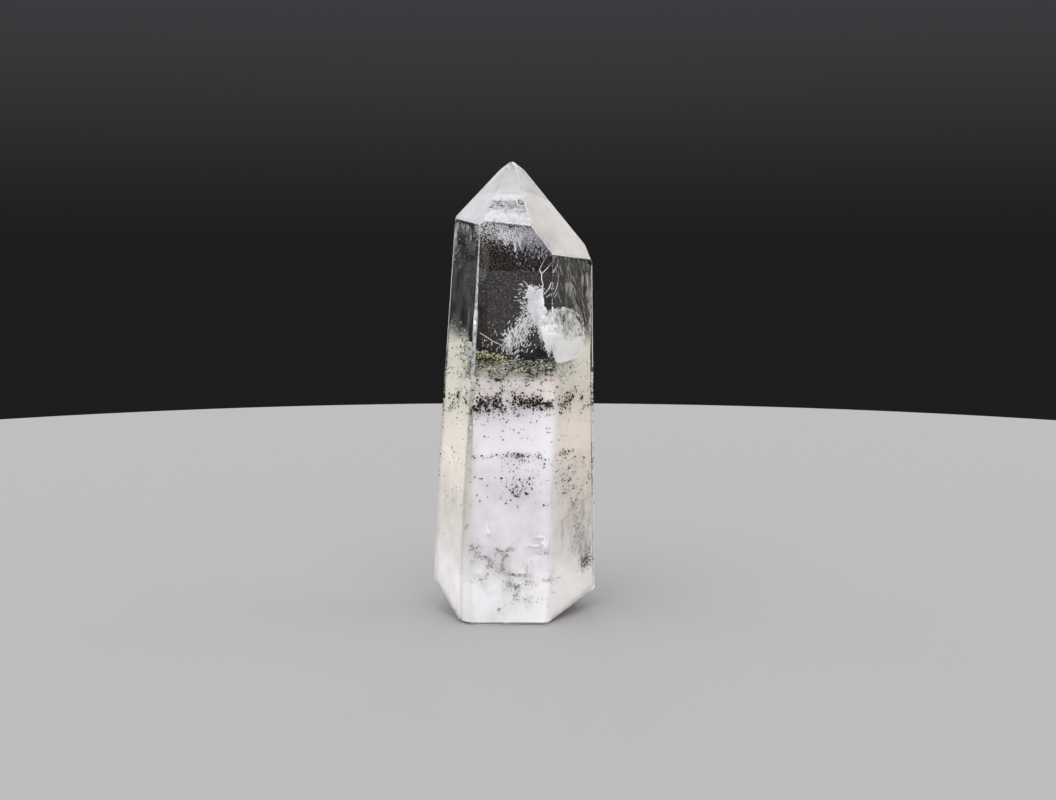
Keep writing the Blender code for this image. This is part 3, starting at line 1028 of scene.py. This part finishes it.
# Tufts: x and z of the foot of each in millimetres, how far it spreads, and how tall it is.
TUFTS = ((-1.3, 65.5, 0.9, 2.6), (0.3, 64.6, 0.35, 2.6), (1.1, 65.1, 0.3, 2.0), (-0.3, 66.2, 1.1, 1.6),
         (-2.3, 66.6, 0.6, 1.0), (0.9, 66.4, 0.9, 1.4))
TUFT_NEEDLES = 60
POWDER_COUNT = 2900
GREY_COUNT = 1200
CROWN_COUNT = 1000
GREY_STREAK = mineral("grey_streak", (0.28, 0.28, 0.33, 1.0), (0.62, 0.62, 0.70, 1.0), 0.9, 0.5 * MM)
draw = random.Random(51)


def hang_specks(count, x_range, reach_down, sizes):
    """Points that crowd under the shoulder edge and thin out downwards, with their sizes."""
    spots, speck_sizes = [], []
    for _ in range(count):
        x = draw.uniform(*x_range)
        z = FRINGE_LEVEL - 0.17 * (x + 6.0) - abs(draw.gauss(0, reach_down)) + draw.gauss(0, 0.4)
        spots.append(behind(x, z, draw.uniform(0.5, 3.0)))
        speck_sizes.append(draw.uniform(*sizes))
    return spots, speck_sizes


powder_spots, powder_sizes = hang_specks(POWDER_COUNT, (-6.4, 5.0), 1.5, (0.5, 1.4))
grow("fringe_powder", powder_spots, FEATHER_WHITE, 0.10 * MM, length=0.14 * MM, spread=0.5,
     bigger=powder_sizes, seed=21)
streak_spots, streak_sizes = hang_specks(GREY_COUNT, (0.3, 7.0), 2.0, (0.5, 1.5))
grow("fringe_streaks", streak_spots, GREY_STREAK, 0.09 * MM, length=0.34 * MM, spread=0.5,
     tumble=0.35, bigger=streak_sizes, seed=22)

fringe, hang, fringe_sizes = [], [], []
for x, z, spread, tall in TUFTS:
    for _ in range(TUFT_NEEDLES):
        way = draw.random()
        aside = draw.gauss(0, spread) * (0.25 + way * 0.75)
        fringe.append(behind(x + aside, z + tall * way, draw.uniform(0.6, 2.0)))
        hang.append((aside * 0.8 + draw.gauss(0, 0.25), 0.0, 1.0))
        fringe_sizes.append(draw.uniform(0.5, 1.5))
grow("tip_fringe", fringe, FEATHER_WHITE, 0.12 * MM, length=0.42 * MM, spread=0.5, tumble=0.3,
     along=hang, bigger=fringe_sizes, seed=10)

GREY_SPECKS = mineral("grey_specks", (0.004, 0.005, 0.004, 1.0), (0.05, 0.055, 0.05, 1.0), 0.9, 0.4 * MM)
band, band_sizes = [], []
for _ in range(CROWN_COUNT):
    x = draw.uniform(-4.9, 2.4)
    if draw.random() < 0.6:
        z = 72.5 - 0.08 * (x + 4.8) + draw.gauss(0, 0.62)
    else:
        z = draw.uniform(69.4, 73.2)
    band.append(behind(x, z, draw.uniform(0.16, 0.27)))
    band_sizes.append(math.exp(draw.gauss(0, 0.4)) * (1.0 if z > 71.8 else 0.75))
grow("crown_specks", band, GREY_SPECKS, 0.13 * MM, length=0.26 * MM, spread=0.3,
     bigger=band_sizes, skin=0.14 * MM, seed=14)


# A painted highlight along the two outer arrises of the clear half: rows of tiny white grains just under the
# worn edge, which show there as one thin bright line.
# Each row: its lowest and highest point in millimetres, and the bearing from which its arris is looked for.
HIGHLIGHT_ROWS = ((47.0, 69.0, 170.0), (44.0, 62.0, -20.0))
HIGHLIGHT_SWEEP = 31.0
HIGHLIGHT_STEP = 0.065
HIGHLIGHT_DEPTH = 0.20 * MM

draw = random.Random(81)
highlight_grains = []
for low, high, start in HIGHLIGHT_ROWS:
    bearings = np.arange(start, start + HIGHLIGHT_SWEEP, 0.5)
    for z in np.arange(low, high, HIGHLIGHT_STEP) * MM:
        bearing = max(bearings, key=lambda turn: abs(towards(turn, 0.0).x) * reach(turn, z))
        highlight_grains.append(near_face(bearing, z, HIGHLIGHT_DEPTH * draw.uniform(0.8, 1.5)))
# Painted highlight: white grains set just under each arris to draw its bright line.
grow("arris_highlight", highlight_grains, FEATHER_WHITE, 0.15 * MM, length=0.30 * MM, spread=0.5,
     tumble=0.3, skin=0.10 * MM, seed=23)


# Mist: thin sheets with soft upright streaks, greenish behind the upper left face, greyish behind the upper
# right face, and faint smudges around the foot. The darker greenish streaks behind the upper left face are a
# painted sheen on that face; the rest are the finest fluid bubbles and stained clay.
LEFT_SHEEN_RIM = ((-12.6, 50.0), (-8.2, 50.0), (-7.7, 58.0), (-7.2, 68.4), (-9.0, 69.2), (-11.2, 69.3),
                 (-11.9, 62.0))
LEFT_CLOUD_RIM = ((-11.7, 66.0), (-11.3, 63.0), (-10.4, 62.2), (-9.2, 63.4), (-8.2, 64.6), (-7.5, 66.0),
                  (-7.3, 68.6), (-9.0, 69.3), (-11.2, 69.2))
FOOT_MIST_RIM = ((-8.0, 14.5), (-3.5, 12.8), (0.0, 10.5), (4.0, 11.0), (6.5, 9.5), (5.5, 4.0), (1.0, 2.6),
                 (-4.0, 5.0), (-6.5, 9.0))
RIGHT_SMOKE_RIM = ((8.8, 13.0), (10.8, 10.3), (13.2, 10.0), (13.4, 16.0), (13.3, 20.5), (11.5, 22.5),
                   (9.6, 19.0))
RIGHT_MIST_RIM = ((7.4, 50.5), (13.2, 50.0), (13.3, 57.0), (13.2, 62.0), (9.8, 62.6), (8.0, 62.4),
                  (7.4, 57.0))
# Each sheet: its middle and rim in millimetres, its depth, how ragged its rim is and how far it ripples, and
# then its dark tone, its light tone and how thick it gets.
MISTS = {
    # A painted sheen: grey-green upright streaks behind the upper left face.
    "left_painted_sheen": ((-10.0, 60.0), LEFT_SHEEN_RIM, 0.9 * MM, 0.0, 0.1 * MM,
                  (0.20, 0.26, 0.24, 1.0), (0.55, 0.61, 0.58, 1.0), 0.45),
    "left_cloud": ((-9.6, 66.4), LEFT_CLOUD_RIM, 0.6 * MM, 0.2, 0.1 * MM,
                   (0.48, 0.57, 0.54, 1.0), (0.96, 1.0, 0.98, 1.0), 1.0),
    "foot_mist": ((-0.5, 9.0), FOOT_MIST_RIM, 0.62 * MM, 0.1, 0.05 * MM,
                  (0.62, 0.63, 0.56, 1.0), (0.88, 0.88, 0.82, 1.0), 0.50),
    "right_smoke": ((11.4, 16.0), RIGHT_SMOKE_RIM, 0.9 * MM, 0.1, 0.05 * MM,
                    (0.26, 0.26, 0.23, 1.0), (0.72, 0.71, 0.66, 1.0), 0.8),
    "right_mist": ((10.4, 57.5), RIGHT_MIST_RIM, 0.9 * MM, 0.0, 0.1 * MM,
                   (0.34, 0.33, 0.30, 1.0), (0.92, 0.90, 0.84, 1.0), 0.95),
}


def mist_material(name, dark, light, thickest):
    """A faint veil in upright streaks."""
    material, tree = new_material(name)
    where = add(tree, "ShaderNodeTexCoord", take="Object")
    drawn_out = add(tree, "ShaderNodeVectorMath", {"operation": "MULTIPLY"}, {0: where, 1: (1.0, 1.0, 0.22)})
    upright = cloud(tree, drawn_out, 1.3 * MM, detail=4.0, roughness=0.6)
    patches = cloud(tree, where, 3.5 * MM)
    thickness = upright.step(0.35, 0.75) * patches.step(0.35, 0.65) * thickest
    show_faint(tree, blend_colours(patches, dark, light), thickness)
    return material


for name, (middle, rim, depth, ragged, ripple, dark, light, thickest) in MISTS.items():
    sheet(name, middle, rim, depth, ragged, ripple, mist_material(name, dark, light, thickest))


# Rain and flecks in the clear window: thin bright needles that slant down through the right side, upright
# flecks high on the left face, and a very fine brownish dust all through the window.
RAIN_COUNT = 150
RAIN_SLANT = -0.42
HIGH_FLECKS = 280
WINDOW_FLECKS = 60
DUST_COUNT = 5200

draw = random.Random(71)
rain, slant, rain_sizes = [], [], []
for _ in range(RAIN_COUNT):
    x, z = draw.uniform(7.0, 13.2), draw.uniform(51.0, 64.5)
    rain.append(behind(x, z, draw.uniform(0.5, 3.0)))
    slant.append((RAIN_SLANT + draw.gauss(0, 0.08), 0.0, 0.9))
    rain_sizes.append(draw.uniform(0.4, 1.3) ** 2)
grow("rain_needles", rain, PALE_MOSS, 0.06 * MM, length=1.5 * MM, spread=0.4, tumble=0.06,
     along=slant, bigger=rain_sizes, seed=15)

flecks, lean, fleck_sizes = [], [], []
for _ in range(HIGH_FLECKS):
    x, z = around(-10.4, 65.6, 0.9, 2.0)
    flecks.append(behind(x, z, draw.uniform(0.5, 2.0)))
    lean.append((0.15, 0.0, 1.0))
    fleck_sizes.append(draw.uniform(0.4, 1.4))
for _ in range(WINDOW_FLECKS):
    x, z = draw.uniform(-5.6, 0.5), draw.uniform(46.5, 52.5)
    flecks.append(behind(x, z, draw.uniform(0.8, 3.0)))
    lean.append((0.5, 0.0, 1.0))
    fleck_sizes.append(draw.uniform(0.5, 1.3))
grow("pale_flecks", flecks, PALE_MOSS, 0.13 * MM, length=0.30 * MM, spread=0.5, tumble=0.5,
     along=lean, bigger=fleck_sizes, seed=16)

FINE_DUST = mineral("fine_dust", (0.42, 0.28, 0.22, 1.0), (0.92, 0.76, 0.67, 1.0), 0.9, 0.6 * MM)
haze_dust = []
for _ in range(DUST_COUNT):
    x = draw.uniform(-5.8, 6.4)
    z = 68.0 - 20.0 * draw.random() ** 1.5
    haze_dust.append(behind(x, z, draw.uniform(0.6, 9.0)))
grow("window_dust", haze_dust, FINE_DUST, 0.048 * MM, length=0.080 * MM, spread=0.5, seed=17)
